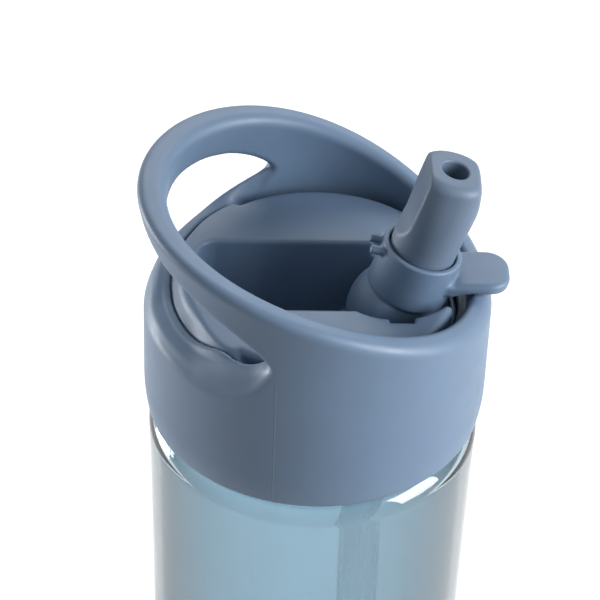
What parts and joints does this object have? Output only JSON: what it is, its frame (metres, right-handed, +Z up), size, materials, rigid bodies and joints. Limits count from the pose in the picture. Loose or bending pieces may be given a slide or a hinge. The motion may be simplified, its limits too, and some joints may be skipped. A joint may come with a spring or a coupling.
{
  "type": "straw water bottle",
  "caption": "Clear waisted bottle with a screw lid, a carry loop rising from its slanted rim, and a fold-down drinking spout on a straw.",
  "frame": {"origin": "centre of the standing face", "axes": "+Z up the bottle's axis; the carry loop is on the -X side and the spout on the +X side"},
  "size_m": [0.0808, 0.0772, 0.2319],
  "materials": {
    "bottle_clear": "clear, tinted light blue, glossy",
    "lid_plastic": "slate blue, satin moulded",
    "soft_silicone": "slate blue silicone, matt",
    "seal_silicone": "pale grey silicone, matt",
    "straw_clear": "frosted clear"
  },
  "bodies": {
    "bottle": {"bottle_body": "bottle_clear"},
    "gasket": {"lid_gasket": "seal_silicone"},
    "lid": {"cap_shell": "lid_plastic", "lid_core": "lid_plastic", "spout_seal": "seal_silicone", "straw": "straw_clear", "vent_valve": "seal_silicone"},
    "spout": {"spout_body": "lid_plastic", "mouthpiece": "soft_silicone"}
  },
  "joints": [
    {"name": "lid_rise", "type": "slide", "parent": "bottle", "child": "gasket", "axis": [0, 0, 1], "range_m": [0, 0.0051]},
    {"name": "lid_turn", "type": "hinge", "parent": "gasket", "child": "lid", "pos_m": [0, 0, 0.168], "axis": [0, 0, 1], "range_deg": [0, 450]},
    {"name": "spout_flip", "type": "hinge", "parent": "lid", "child": "spout", "pos_m": [0.0176, 0, 0.1924], "axis": [0, 1, 0], "range_deg": [-105, 0]}
  ],
  "couplings": [
    {"joint": "lid_rise", "follows": "lid_turn", "m_per_rad": 0.00063662}
  ]
}
